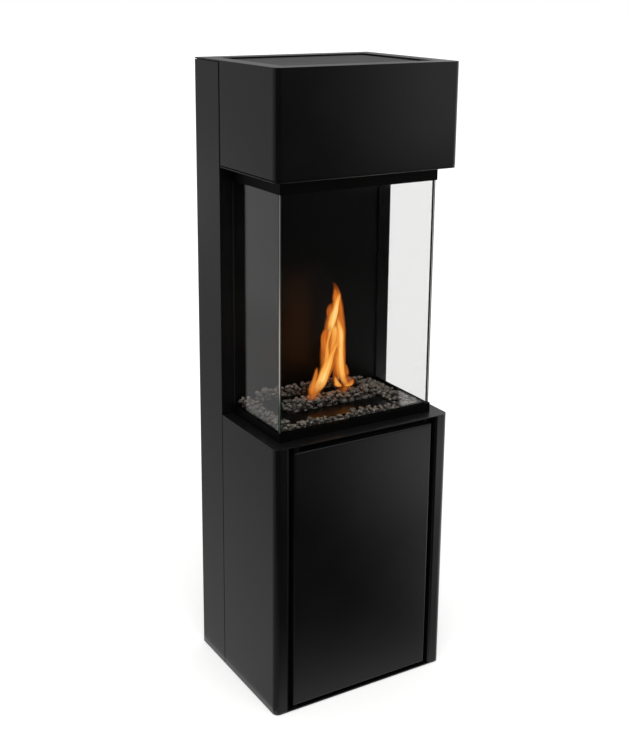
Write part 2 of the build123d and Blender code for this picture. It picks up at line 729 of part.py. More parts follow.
stone_left_x = -tray_inside_x + stone_clearance
stone_right_x = tray_inside_x - stone_clearance
stone_front_y = tray_inside_front_y + stone_clearance
stone_back_y = tray_inside_back_y - stone_clearance
beside_burner_x = burner_x + stone_clearance
front_strip = (stone_left_x, stone_right_x, stone_front_y, burner_front_y - stone_clearance)
left_strip = (stone_left_x, -beside_burner_x, burner_front_y, stone_back_y)
right_strip = (beside_burner_x, stone_right_x, burner_front_y, stone_back_y)
back_strip = (-burner_x, burner_x, burner_back_y + stone_clearance, stone_back_y)
slot_clear_x = slot_x - stone_clearance
slot_bed = (-slot_clear_x, slot_clear_x, slot_y[0] + stone_clearance, slot_y[1] - stone_clearance)

finish("tray_stones_front", stone_field(*front_strip, tray_floor))
finish("tray_stones_left", stone_field(*left_strip, tray_floor))
finish("tray_stones_right", stone_field(*right_strip, tray_floor))
finish("tray_stones_back", stone_field(*back_strip, tray_floor, layers=2))
finish("burner_stones", stone_field(*slot_bed, mesh_top, layers=2))

# ---- Hood ----------------------------------------------------------------------------------------
with BuildPart() as hood_bottom_ring:
    with BuildSketch(Plane.XY.offset(hood_under)) as ring_outline:
        area(-half_width, half_width, front_y, hood_back_y)
        fillet(ring_outline.vertices().group_by(Axis.Y)[0], corner_radius)
        ring_inside_y = hood_back_y - ring_rear_bar
        area(-channel_inner_x, channel_inner_x, channel_inner_y, ring_inside_y, Mode.SUBTRACT)
    extrude(amount=ring_thickness)
    underside = hood_bottom_ring.faces().sort_by(Axis.Z)[0]
    fillet(underside.outer_wire().edges(), ring_edge_round)
    with BuildSketch(Plane.XY.offset(ring_top)) as ring_rim:
        area(-inner_x, inner_x, front_y + sheet, hood_back_y - sheet)
        fillet(ring_rim.vertices().group_by(Axis.Y)[0], corner_radius - sheet)
        offset(amount=-sheet, mode=Mode.SUBTRACT)
    extrude(amount=ring_rim_height)
finish("hood_bottom_ring", hood_bottom_ring)

with BuildPart() as hood_shell:
    with BuildSketch(Plane.XY.offset(ring_top + shadow_line)) as hood_section:
        area(-half_width, half_width, front_y, hood_back_y)
        fillet(hood_section.vertices().group_by(Axis.Y)[0], corner_radius)
        offset(amount=-sheet, mode=Mode.SUBTRACT)
        area(-inner_x, inner_x, hood_back_y - sheet, hood_back_y, Mode.SUBTRACT)
    extrude(amount=top_under - ring_top - shadow_line)
finish("hood_shell", hood_shell)

hood_bracket_low = ring_top + ring_rim_height + hood_bracket_end
hood_bracket_high = top_under - hood_bracket_end - bracket_height
finish("hood_brackets", corner_brackets((hood_bracket_low, hood_bracket_high), hood_back_y))

with BuildPart() as top_frame:
    with BuildSketch(Plane.XY.offset(top_under)) as top_outline:
        Rectangle(width, depth)
        fillet(top_outline.vertices().group_by(Axis.Y)[0], corner_radius)
        Rectangle(2 * opening_x, 2 * opening_y, mode=Mode.SUBTRACT)
    extrude(amount=plate)
    with BuildSketch(Plane.XY.offset(top_under)):
        Rectangle(2 * (opening_x + sheet), 2 * (opening_y + sheet))
        Rectangle(2 * opening_x, 2 * opening_y, mode=Mode.SUBTRACT)
    extrude(amount=-rim_flange)
finish("top_frame", top_frame)

with BuildPart() as deflector_panel:
    panel_x = opening_x - outlet_gap
    panel_y = opening_y - outlet_gap
    block(-panel_x, panel_x, -panel_y, panel_y, panel_under, panel_top)
finish("deflector_panel", deflector_panel)

with BuildPart() as deflector_tabs:
    for side in (-1, 1):
        for y in (tab_inset - panel_y, panel_y - tab_inset):
            tab_x = (side * (opening_x - tab_reach), side * opening_x)
            tab_low = panel_under - tab_thickness
            block(*tab_x, y - tab_width / 2, y + tab_width / 2, tab_low, panel_under)
finish("deflector_tabs", deflector_tabs)
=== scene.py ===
# %% [markdown]
# # A tall bioethanol fireplace
#
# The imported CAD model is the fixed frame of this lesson. Round it we make a studio, a finish for
# every metal, glass and rubber part, a bed of loose pebbles, screws with a real recess, a coil
# spring and a flame. Everything is in metres, with Z up, the door facing -Y and the origin on the
# floor.

# %% Load the frame
import math

import bpy
import numpy as np
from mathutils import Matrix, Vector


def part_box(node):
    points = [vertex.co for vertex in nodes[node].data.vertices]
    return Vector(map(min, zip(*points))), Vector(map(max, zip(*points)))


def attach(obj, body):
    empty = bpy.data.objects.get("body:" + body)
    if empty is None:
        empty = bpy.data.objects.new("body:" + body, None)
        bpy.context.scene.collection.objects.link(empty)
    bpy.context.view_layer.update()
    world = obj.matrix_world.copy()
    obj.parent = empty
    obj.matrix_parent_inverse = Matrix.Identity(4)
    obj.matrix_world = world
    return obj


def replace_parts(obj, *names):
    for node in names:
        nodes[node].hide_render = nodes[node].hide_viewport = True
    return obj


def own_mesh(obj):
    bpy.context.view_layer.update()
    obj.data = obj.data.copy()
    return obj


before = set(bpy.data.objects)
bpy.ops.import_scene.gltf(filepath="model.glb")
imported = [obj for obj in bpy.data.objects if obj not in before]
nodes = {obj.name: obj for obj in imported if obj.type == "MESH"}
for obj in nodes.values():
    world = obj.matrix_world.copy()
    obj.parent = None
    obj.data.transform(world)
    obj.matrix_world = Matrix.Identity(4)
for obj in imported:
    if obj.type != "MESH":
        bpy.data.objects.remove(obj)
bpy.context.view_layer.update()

# %% [markdown]
# ## The camera
#
# The photograph was taken from the front left, a little above the hood. A pinhole camera was fitted
# to the fireplace's straight edges. It gives the place, the three turns, the focal length and a
# shift, because the picture is a crop whose optical axis lies above its middle.

# %% Camera
camera_data = bpy.data.cameras.new("camera")
camera_data.sensor_width = 36.0
camera_data.lens = 56.38
camera_data.shift_x = 0.0143
camera_data.shift_y = -0.1340
camera = bpy.data.objects.new("camera", camera_data)
camera.location = (-1.5043, -2.4346, 1.7683)
camera.rotation_euler = [math.radians(turn) for turn in (75.806, -0.3633, -30.638)]
bpy.context.scene.collection.objects.link(camera)
bpy.context.scene.camera = camera
bpy.context.scene.view_settings.view_transform = "Standard"
print("camera with a", camera_data.lens, "mm lens at", tuple(round(x, 3) for x in camera.location))

# %% [markdown]
# ## Colours and shader nodes
#
# Colours are written as the hex codes of a paint chart. Blender works with linear light, so one
# function turns a code into it. A second function adds one shader node, sets what is plain and
# links what isn't.


# %% Helpers for materials
def linear(code):
    """Linear light of an sRGB hex code: ((c + 0.055) / 1.055) ** 2.4, or c / 12.92 where dark."""
    levels = [int(code[i : i + 2], 16) / 255 for i in (1, 3, 5)]
    light = [c / 12.92 if c <= 0.04045 else ((c + 0.055) / 1.055) ** 2.4 for c in levels]
    return (*light, 1.0)


def node(tree, kind, sockets=None, **settings):
    """Adds a node. A socket is linked to an output or a node's first output, or set to a value."""
    made = tree.nodes.new(kind)
    for name, value in settings.items():
        setattr(made, name, value)
    for key, value in (sockets or {}).items():
        if isinstance(value, bpy.types.Node):
            value = value.outputs[0]
        if isinstance(value, bpy.types.NodeSocket):
            tree.links.new(value, made.inputs[key])
        else:
            made.inputs[key].default_value = value
    return made


def new_material(name):
    """An empty material, its node tree and the output node that its surface goes into."""
    material = bpy.data.materials.new(name)
    material.use_nodes = True
    material.node_tree.nodes.clear()
    output = material.node_tree.nodes.new("ShaderNodeOutputMaterial")
    return material, material.node_tree, output


print("black of the coat in linear light:", [round(c, 4) for c in linear("#09090a")[:3]])

# %% [markdown]
# ## Meshes from arrays
#
# Every new shape is worked out as whole arrays of points. A sheet is a grid of points, and a closed
# shell is a stack of rings with a pole at each end. The shell's volume tells whether its faces
# point outwards.


# %% Helpers for meshes
def sheet_faces(rows, columns):
    """Four-cornered faces between the points of a grid that is numbered row by row."""
    corner = (np.arange(rows - 1)[:, None] * columns + np.arange(columns - 1)).ravel()
    return np.stack((corner, corner + 1, corner + columns + 1, corner + columns), axis=1)


def shell_faces(rings, around):
    """Faces between rings of points, numbered ring by ring, and to the two poles after them."""
    here = np.arange(around)
    after = (here + 1) % around
    start = (np.arange(rings - 1) * around)[:, None]
    sides = (start + here, start + after, start + around + after, start + around + here)
    quads = np.stack([side.ravel() for side in sides], axis=1)
    pole = np.full(around, rings * around)
    last = (rings - 1) * around
    first_cap = np.stack((after, here, pole), axis=1)
    last_cap = np.stack((last + here, last + after, pole + 1), axis=1)
    return quads.tolist() + first_cap.tolist() + last_cap.tolist()


def volume(points, faces):
    """Signed volume of a closed shell: its triangles' tetrahedra with the origin, added up."""
    fans = [(f[0], f[i], f[i + 1]) for f in faces for i in range(1, len(f) - 1)]
    a, b, c = (points[[fan[k] for fan in fans]] for k in range(3))
    return float(np.einsum("ij,ij->i", a, np.cross(b, c)).sum() / 6)


def outward(points, faces):
    """The same faces, turned round if the shell's volume is negative."""
    centred = points - points.mean(axis=0)
    return faces if volume(centred, faces) > 0 else [face[::-1] for face in faces]


def new_piece(name, points, faces, material, smooth=True):
    """A mesh object at the origin, with its place in its mesh."""
    mesh = bpy.data.meshes.new(name)
    mesh.from_pydata(points.tolist(), [], [list(face) for face in faces])
    mesh.polygons.foreach_set("use_smooth", np.full(len(mesh.polygons), smooth))
    mesh.materials.append(material)
    piece = bpy.data.objects.new(name, mesh)
    bpy.context.scene.collection.objects.link(piece)
    return piece


def copies(size, faces, count):
    """Faces of count shells of the same make, each of size points, that follow one another."""
    return [[corner + i * size for corner in face] for i in range(count) for face in faces]


print("a shell of 5 rings of 8 points has", len(shell_faces(5, 8)), "faces")

# %% [markdown]
# ## The studio
#
# The picture has a white ground with no edge. The floor is pale and catches the object's soft
# shadow. For what the camera sees, straight or through glass or in a reflection, a little light of
# its own lifts it to white, and the sky behind it is white too. One soft sun and the sky light the
# object.

# %% Floor
def background_rays(tree):
    """1 for a ray that shows the ground: from the camera, off a mirror or through glass. Else 0."""
    path = node(tree, "ShaderNodeLightPath").outputs
    direct = node(
        tree,
        "ShaderNodeMath",
        {0: path["Is Camera Ray"], 1: path["Is Glossy Ray"]},
        operation="MAXIMUM",
    )
    shown = node(
        tree, "ShaderNodeMath", {0: direct, 1: path["Is Transmission Ray"]}, operation="MAXIMUM"
    )
    return shown


pale_floor, tree, output = new_material("pale_floor_paint")
lift = node(tree, "ShaderNodeMath", {0: background_rays(tree), 1: 0.36}, operation="MULTIPLY")
paint = node(tree, "ShaderNodeBsdfDiffuse", {"Color": linear("#f2f2f1")})
glow = node(tree, "ShaderNodeEmission", {"Color": linear("#ffffff"), "Strength": lift})
both = node(tree, "ShaderNodeAddShader", {0: paint, 1: glow})
tree.links.new(both.outputs[0], output.inputs["Surface"])

floor_reach = 40.0
# A little under the origin, so that it doesn't lie in one plane with the glides.
floor_level = -0.0004
corners = np.array([(-1, -1), (1, -1), (-1, 1), (1, 1)]) * floor_reach
floor_points = np.column_stack((corners, np.full(4, floor_level)))
floor = new_piece("studio_floor", floor_points, sheet_faces(2, 2), pale_floor, smooth=False)
print("floor", 2 * floor_reach, "m wide")

# %% Sky and sun
sky = bpy.data.worlds.new("studio_sky")
bpy.context.scene.world = sky
sky.use_nodes = True
tree = sky.node_tree
tree.nodes.clear()
level = node(
    tree, "ShaderNodeMapRange", {"Value": background_rays(tree), "To Min": 0.6, "To Max": 1.0}
)
white = node(tree, "ShaderNodeBackground", {"Color": linear("#ffffff"), "Strength": level})
node(tree, "ShaderNodeOutputWorld", {"Surface": white})

sun_data = bpy.data.lights.new("soft_sun", "SUN")
sun_data.energy = 1.3
sun_data.angle = math.radians(60)
sun = bpy.data.objects.new("soft_sun", sun_data)
sun.rotation_euler = (math.radians(32), math.radians(-18), 0.0)
bpy.context.scene.collection.objects.link(sun)
print("sky, and a sun of", sun_data.energy, "W/m2")

# %% [markdown]
# ## Cards that shape the reflections
#
# A black lacquer shows what stands round it. Here the front is nearly black on its left and grey on
# its right, so the light in front of the fireplace fades from white at the right to black at the
# left. Three cards make that. The ones in front and at the left lie on the floor and bend up into a
# wall, and the one behind is upright. Only mirrored rays see them, also where such a ray goes on
# through glass.


# %% Helpers for cards
def card_light(name):
    """A light as strong as the card's own attribute, clear to rays that no surface mirrored."""
    material, tree, output = new_material(name)
    level = node(tree, "ShaderNodeAttribute", attribute_name="level")
    glow = node(
        tree, "ShaderNodeEmission", {"Color": linear("#ffffff"), "Strength": level.outputs["Fac"]}
    )
    depth = node(tree, "ShaderNodeLightPath").outputs["Glossy Depth"]
    mirrored = node(tree, "ShaderNodeMath", {0: depth, 1: 0.5}, operation="GREATER_THAN")
    gap = node(tree, "ShaderNodeBsdfTransparent")
    shown = node(tree, "ShaderNodeMixShader", {0: mirrored, 1: gap, 2: glow})
    tree.links.new(shown.outputs[0], output.inputs["Surface"])
    return material


def bent_card(name, points, level):
    """A sheet from a grid of points (row, column, 3) that shines with level (row, column)."""
    rows, columns = level.shape
    faces = sheet_faces(rows, columns)
    card = new_piece(name, points.reshape(-1, 3), faces, card_light(name), smooth=False)
    card.data.attributes.new("level", "FLOAT", "POINT").data.foreach_set("value", level.ravel())
    card.visible_camera = False
    card.visible_diffuse = False
    card.visible_shadow = False


def floor_and_wall(away, height, steps):
    """A profile's distances and heights: steps over the floor up to away, then up a wall."""
    out = np.concatenate((np.linspace(0, 1, steps) ** 1.5 * away, np.full(steps, away)))
    up = np.concatenate((np.zeros(steps), np.linspace(0.05, 1, steps) * height))
    return out, up


def fade(value, start, width):
    """0 up to start, 1 from start + width on, straight between. A negative width falls."""
    return np.clip((value - start) / width, 0, 1)


wall_height = 3.0
print("a card's profile has", len(floor_and_wall(1.75, wall_height, 44)[0]), "rows")

# %% [markdown]
# The card in front is white by the fireplace's foot, black in front of it, and white again beyond a
# slanting edge, and that is what the door mirrors. The panes mirror its far floor and the wall's
# lower part. These stay black, apart from a narrow wedge, which gives the front pane its pale
# streak. The hood mirrors the rest of the wall.

# %% The card in front
face_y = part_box("door_skin")[0][1]
out, up = floor_and_wall(1.75, wall_height, 44)
# Rows and columns are about 10 mm apart where the wedge has its edges.
wedge_rows = np.linspace(1.52, 1.74, 23)
wedge_columns = np.linspace(1.205, 1.5, 31)
place = np.searchsorted(out, wedge_rows)
out, up = np.insert(out, place, wedge_rows), np.insert(up, place, 0.0)
across = np.sort(np.concatenate((np.linspace(-2.6, 2.6, 60), wedge_columns)))
out_grid, up_grid, across_grid = np.broadcast_arrays(out[:, None], up[:, None], across)
front_points = np.stack((across_grid, face_y - 0.005 - out_grid, up_grid + 0.002), axis=2)

near = 0.55 * np.exp(-((out_grid / 0.17) ** 1.3))
slanting_edge = 0.16 + 0.235 * out_grid**2
right = fade(across_grid, slanting_edge, 0.58) ** 1.9
along_door = np.interp(out_grid, (0.3, 0.6, 0.93, 1.15, 1.36), (1.4, 0.64, 1.1, 1.33, 1.5))
for_door = fade(out_grid, 1.56, -0.14) * along_door
wedge_left, wedge_right = 1.283 + 0.667 * (out_grid - 1.57), 1.395
wedge = fade(across_grid, wedge_left, 0.02) * fade(across_grid, wedge_right, -0.012)
for_pane = 1.5 * wedge * fade(out_grid, 1.54, 0.02)
for_hood = 0.85 * fade(up_grid, 0.93, 0.12)
far_right = np.interp(across_grid, (1.6, 2.4), (1.0, 0.35))
right *= np.maximum(np.maximum(for_door, for_pane), for_hood) * far_right
bent_card("front_card", front_points, near + right)
print("card in front of", near.size, "points, up to", round(float((near + right).max()), 2))

# %% [markdown]
# The card at the left is what the left side and the left pane mirror: dull, a little brighter near
# the case and on its wall, and black towards the front. The one behind shows in the top's flat
# paint, and is brighter at its right end.

# %% The cards at the left and behind
out, up = floor_and_wall(1.55, wall_height, 12)
across = np.array((-1.8, -0.9, -0.45, -0.25, 0.0, 5.0))
out_grid, up_grid, across_grid = np.broadcast_arrays(out[:, None], up[:, None], across)
left_points = np.stack((-0.26 - out_grid, across_grid, up_grid + 0.003), axis=2)
near_case = 0.138 * fade(out_grid, 0.8, -0.8)
wall = 0.06 * fade(up_grid, 0.0, 0.15)
bent_card("left_card", left_points, fade(across_grid, -0.9, 0.9) * (0.307 + near_case + wall))

back_x = np.array((-1.7, 2.5, 3.0, 4.5))
back_points = np.array([[(x, 3.0, z) for x in back_x] for z in (0.9, 3.2)])
back_level = 0.34 + 0.5 * fade(back_x, 2.5, 0.5)
bent_card("back_card", back_points, np.tile(back_level, (2, 1)))
print("three cards, seen by mirrored rays only")

# %% [markdown]
# ## Powder-coated steel
#
# The case is folded steel with a baked powder coat: a satin black with a very fine orange peel,
# whose grain is about a millimetre. It gives the eye a broad soft reflection and no sparkle. The
# parts round the fire have a heat-proof matt paint, which is rougher.


# %% Black coats
def black_coat(name, kind, roughness, ior, painted_shade_beyond=()):
    """A black coat: noise in Object coordinates varies its roughness and raises its grain.

    kind is its two blacks, how far its roughness varies, and its grain's width and height in
    metres. Where every axis that the last argument names is past the place given with it, the coat
    is rough and painted black: painted shade for a groove or a fold.
    """
    low, high, spread, grain, depth = kind
    material, tree, output = new_material(name)
    place = node(tree, "ShaderNodeTexCoord").outputs["Object"]
    cloud = node(tree, "ShaderNodeTexNoise", {"Vector": place, "Scale": 9.0, "Detail": 3.0})
    level = node(
        tree,
        "ShaderNodeMapRange",
        {
            "Value": cloud,
            "From Min": 0.3,
            "From Max": 0.7,
            "To Min": roughness - spread,
            "To Max": roughness + spread,
        },
    )
    peel = node(tree, "ShaderNodeTexNoise", {"Vector": place, "Scale": 1 / grain, "Detail": 2.0})
    relief = node(tree, "ShaderNodeBump", {"Height": peel, "Strength": 0.35, "Distance": depth})
    shade = node(
        tree, "ShaderNodeMix", {0: cloud, 6: linear(low), 7: linear(high)}, data_type="RGBA"
    )
    coat = node(
        tree,
        "ShaderNodeBsdfPrincipled",
        {"Base Color": shade.outputs[2], "Roughness": level, "Normal": relief, "IOR": ior},
    )
    # Painted shade: past all these places the colour is mixed to black and the roughness raised to
    # 1.
    if painted_shade_beyond:
        spot = node(tree, "ShaderNodeSeparateXYZ", {"Vector": place})
        dull = 1.0
        for axis, least in painted_shade_beyond:
            past = node(
                tree, "ShaderNodeMath", {0: spot.outputs[axis], 1: least}, operation="GREATER_THAN"
            )
            dull = node(tree, "ShaderNodeMath", {0: past, 1: dull}, operation="MULTIPLY")
        rough = node(tree, "ShaderNodeMath", {0: level, 1: dull}, operation="MAXIMUM")
        dark = node(
            tree,
            "ShaderNodeMix",
            {0: dull, 6: shade.outputs[2], 7: linear("#000000")},
            data_type="RGBA",
        )
        tree.links.new(rough.outputs[0], coat.inputs["Roughness"])
        tree.links.new(dark.outputs[2], coat.inputs["Base Color"])
    tree.links.new(coat.outputs[0], output.inputs["Surface"])
    return material


# Orange peel 1.2 mm wide and 0.02 mm high: a soft, even reflection.
powder = ("#09090a", "#0e0e0f", 0.02, 0.0012, 0.00002)
powder_coat = black_coat("powder_coated_steel_satin_black", powder, 0.24, 1.43)
# The rim that stands in the groove under the hood, above the ring's plate and behind its front, is
# made rough and painted black. This painted shade makes the groove a dark line. The post's fold
# beside the door is treated the same way, and the painted shade takes away its highlight.
groove_shade_places = (("Z", 1.3309), ("Y", -0.190))
groove_painted_shade_coat = black_coat("powder_coated_steel_painted_shade_groove", powder, 0.24, 1.43, groove_shade_places)
fold_shade_places = (("X", -0.2172),)
fold_painted_shade_coat = black_coat("powder_coated_steel_painted_shade_fold", powder, 0.24, 1.43, fold_shade_places)
# The cabinet's level top, where powder settles thickest, has a wider reflection, and the panel in
# the hood's opening, which the hot air dulls, a faint one.
top_coat = black_coat("powder_coated_steel_cabinet_top", powder, 0.32, 1.5)
panel_coat = black_coat("powder_coated_steel_sunken_panel", powder, 0.40, 1.28)

# Heat-proof paint is sprayed thin over a coarser skin. It is satin in the tray, duller on the wall
# behind the fire, and on the glass channels it is porous and mirrors almost nothing.
stove = ("#030303", "#060605", 0.03, 0.0015, 0.00003)
stove_paint = black_coat("stove_paint_satin_black", stove, 0.30, 1.42)
wall_paint = black_coat("stove_paint_dull_black", stove, 0.38, 1.33)
channel_paint = black_coat("stove_paint_porous_matt_black", stove, 0.50, 1.17)
print("powder coats and stove paints")

# %% [markdown]
# ## Bare metals, rubber, plastics and wool
#
# Zinc plating is bright and slightly cloudy, and the door's pivots are blackened and dull. The
# spring is drawn wire, smooth and darker. The tank and its mesh are brushed stainless steel: noise
# that is stretched along X gives the brush lines. Silicone rubber is matt with a fine skin. The
# latch and the pivot bushes are moulded acetal. The wool in the tank is ceramic fibre, and the
# board behind the fire is pressed mineral wool.


# %% Bare metals
def bare_metal(name, code, roughness, stretch, grain, depth):
    """A metal whose grain is noise in Object coordinates, stretched by three factors."""
    material, tree, output = new_material(name)
    place = node(tree, "ShaderNodeTexCoord").outputs["Object"]
    drawn = node(tree, "ShaderNodeMapping", {"Vector": place, "Scale": stretch})
    streaks = node(tree, "ShaderNodeTexNoise", {"Vector": drawn, "Scale": 1 / grain, "Detail": 4.0})
    level = node(
        tree,
        "ShaderNodeMapRange",
        {"Value": streaks, "To Min": roughness * 0.75, "To Max": roughness * 1.3},
    )
    relief = node(tree, "ShaderNodeBump", {"Height": streaks, "Strength": 0.3, "Distance": depth})
    metal = node(
        tree,
        "ShaderNodeBsdfPrincipled",
        {"Base Color": linear(code), "Metallic": 1.0, "Roughness": level, "Normal": relief},
    )
    tree.links.new(metal.outputs[0], output.inputs["Surface"])
    return material


black_zinc = bare_metal("black_zinc_plated_steel", "#0a0a0a", 0.60, (1, 1, 1), 0.004, 0.00002)
zinc = bare_metal("zinc_plated_steel", "#b9bcc0", 0.34, (1, 1, 1), 0.004, 0.00002)
spring_wire = bare_metal("drawn_spring_steel", "#8e9094", 0.28, (1, 1, 1), 0.001, 0.00001)
stainless = bare_metal("brushed_stainless_steel", "#b3b0aa", 0.30, (0.04, 1, 1), 0.0006, 0.00002)
print("black and bright zinc, spring wire and stainless steel")


# %% Rubber, plastics, wool and board
def soft_solid(name, low, high, roughness, grain, depth, detail=4.0, ior=1.5):
    """A dull solid: noise in Object coordinates takes its colour from low to high and raises it."""
    material, tree, output = new_material(name)
    place = node(tree, "ShaderNodeTexCoord").outputs["Object"]
    speck = node(
        tree, "ShaderNodeTexNoise", {"Vector": place, "Scale": 1 / grain, "Detail": detail}
    )
    shade = node(
        tree, "ShaderNodeMix", {0: speck, 6: linear(low), 7: linear(high)}, data_type="RGBA"
    )
    relief = node(tree, "ShaderNodeBump", {"Height": speck, "Strength": 0.5, "Distance": depth})
    solid = node(
        tree,
        "ShaderNodeBsdfPrincipled",
        {"Base Color": shade.outputs[2], "Roughness": roughness, "Normal": relief, "IOR": ior},
    )
    tree.links.new(solid.outputs[0], output.inputs["Surface"])
    return material


rubber = soft_solid("silicone_rubber_black", "#0d0d0d", "#161616", 0.72, 0.0010, 0.00005)
grey_acetal = soft_solid("acetal_moulded_grey", "#4b4d50", "#54565a", 0.42, 0.0030, 0.00001)
black_acetal = soft_solid(
    "acetal_moulded_black", "#050505", "#080808", 0.80, 0.0030, 0.00001, ior=1.15
)
wool = soft_solid("ceramic_fibre_wool", "#c9c5bb", "#f1eee6", 0.95, 0.0016, 0.0006, 8.0)
board = soft_solid("mineral_wool_board", "#8a7f6a", "#b8ab92", 0.92, 0.0022, 0.0004, 8.0)
print("rubber, two plastics, wool and board")

# %% [markdown]
# ## Toughened glass
#
# The panes are 6 mm float glass. Real glass bends and mirrors light at both faces and is faintly
# green, which shows only along a pane. The cut edges are ground to a fine matt, and light and shade
# are painted on them by height. At the foot, where they stand in the dark channel, the edge's own
# green is darkened as painted shade. Higher up they get a pale painted highlight. Light from the
# lamps goes straight through, so the stones behind the glass are lit without noise.


# %% Glass
# The heights between which an edge's colour turns to the next one.
edge_bands = ((0.785, 0.845), (0.95, 1.15))


def pane_glass(name, face_axis, codes):
    """Clear glass whose ground edges are the faces that don't point along the pane's face axis.

    The edges take three colours, for their foot, their middle and their top: light and shade
    painted on by height. Seen from within, through the pane, an edge is painted dark green as
    painted shade.
    """
    material, tree, output = new_material(name)
    path = node(tree, "ShaderNodeLightPath").outputs
    straight = node(
        tree,
        "ShaderNodeMath",
        {0: path["Is Shadow Ray"], 1: path["Is Diffuse Ray"]},
        operation="MAXIMUM",
    )
    clear = node(tree, "ShaderNodeBsdfTransparent", {"Color": linear("#f9fcfa")})
    pane = node(
        tree,
        "ShaderNodeBsdfPrincipled",
        {
            "Base Color": linear("#f8f8f8"),
            "Roughness": 0.0,
            "IOR": 1.52,
            "Transmission Weight": 1.0,
        },
    )
    texture = node(tree, "ShaderNodeTexCoord").outputs
    along = node(tree, "ShaderNodeSeparateXYZ", {"Vector": texture["Normal"]})
    flat = node(tree, "ShaderNodeMath", {0: along.outputs[face_axis]}, operation="ABSOLUTE")
    cut = node(tree, "ShaderNodeMath", {0: flat, 1: 0.9}, operation="LESS_THAN")
    place = node(tree, "ShaderNodeSeparateXYZ", {"Vector": texture["Object"]})
    # Light and shade painted on the edge by height, one colour after the next.
    shade = linear(codes[0])
    for (start, end), code in zip(edge_bands, codes[1:]):
        part = node(
            tree,
            "ShaderNodeMapRange",
            {"Value": place.outputs["Z"], "From Min": start, "From Max": end},
            interpolation_type="SMOOTHSTEP",
        )
        mixed = node(tree, "ShaderNodeMix", {0: part, 6: shade, 7: linear(code)}, data_type="RGBA")
        shade = mixed.outputs[2]
    # Painted shade: seen from within, through the pane, the edge turns dark green.
    within = node(tree, "ShaderNodeNewGeometry").outputs["Backfacing"]
    seen = node(
        tree, "ShaderNodeMix", {0: within, 6: shade, 7: linear("#26302b")}, data_type="RGBA"
    )
    ground = node(
        tree,
        "ShaderNodeBsdfPrincipled",
        {"Base Color": seen.outputs[2], "Roughness": 0.35, "IOR": 1.5},
    )
    face = node(tree, "ShaderNodeMixShader", {0: cut, 1: pane, 2: ground})
    either = node(tree, "ShaderNodeMixShader", {0: straight, 1: face, 2: clear})
    tree.links.new(either.outputs[0], output.inputs["Surface"])
    tint = node(tree, "ShaderNodeVolumeAbsorption", {"Color": linear("#c4e0d0"), "Density": 1.0})
    tree.links.new(tint.outputs[0], output.inputs["Volume"])
    return material


# The side panes' front ends stand in the shade behind the front pane, so their edges get dark
# colours as painted shade. The front pane's edges get painted shade at the foot and a painted
# highlight higher up.
side_edge_painted_shade, front_edge_painted_light_and_shade = ("#1c2420", "#141614", "#101110"), ("#2c4a3a", "#acaaa3", "#6c6e6c")
side_glass = pane_glass("toughened_float_glass_side_pane", "X", side_edge_painted_shade)
front_glass = pane_glass("toughened_float_glass_front_pane", "Y", front_edge_painted_light_and_shade)
print("two panes' glass")

# %% [markdown]
# ## Dressing the CAD nodes
#
# Where the CAD shape is already right, its object only gets a better material.

# %% Materials for the CAD nodes
finishes = {
    powder_coat: "base_plate column_left_side column_right_side rear_cover wall_fixing_rail "
    "rear_top_rail column_lower_shelf column_upper_shelf cabinet_right_side cabinet_back_panel "
    "cabinet_brackets door_stop_frame fuel_shelf shelf_lugs door_skin door_back_panel "
    "latch_bracket hood_shell hood_brackets top_frame deflector_tabs",
    groove_painted_shade_coat: "hood_bottom_ring",
    fold_painted_shade_coat: "cabinet_left_side",
    top_coat: "cabinet_top_plate",
    panel_coat: "deflector_panel",
    stove_paint: "stone_tray burner_top_plate",
    wall_paint: "firebox_back_wall",
    channel_paint: "lower_glass_frame upper_glass_frame",
    zinc: "rear_cover_screws strike_plate strike_screws latch_screws",
    black_zinc: "door_pivot_bottom door_pivot_top",
    spring_wire: "latch_spring",
    stainless: "burner_tank wool_mesh",
    rubber: "floor_pads door_bumpers glass_seat_blocks glass_rear_seals",
    grey_acetal: "latch_body latch_plunger",
    black_acetal: "pivot_bush_bottom pivot_bush_top",
    wool: "ceramic_wool",
    board: "back_wall_insulation",
    side_glass: "glass_left glass_right",
    front_glass: "glass_front",
}
for material, names in finishes.items():
    for name in names.split():
        for slot in nodes[name].material_slots:
            slot.material = material
print(sum(len(names.split()) for names in finishes.values()), "nodes have a new material")

# %% [markdown]
# ## Screws
#
# The rear cover, the latch and the strike plate are held by M4 button-head screws. A real one is
# turned and its thread rolled, so it is round about its axis: rings of points from the tip of the
# shank over the thread and the domed head. The socket is six-sided, which is the head's last ring
# drawn in and sunk.


# %% Screw shape
# M4: a thread 0.28 mm deep on a radius of 2 mm, and a socket 2.5 mm across.
facets, pitch, head_radius, head_height = 24, 0.0007, 0.004, 0.0022


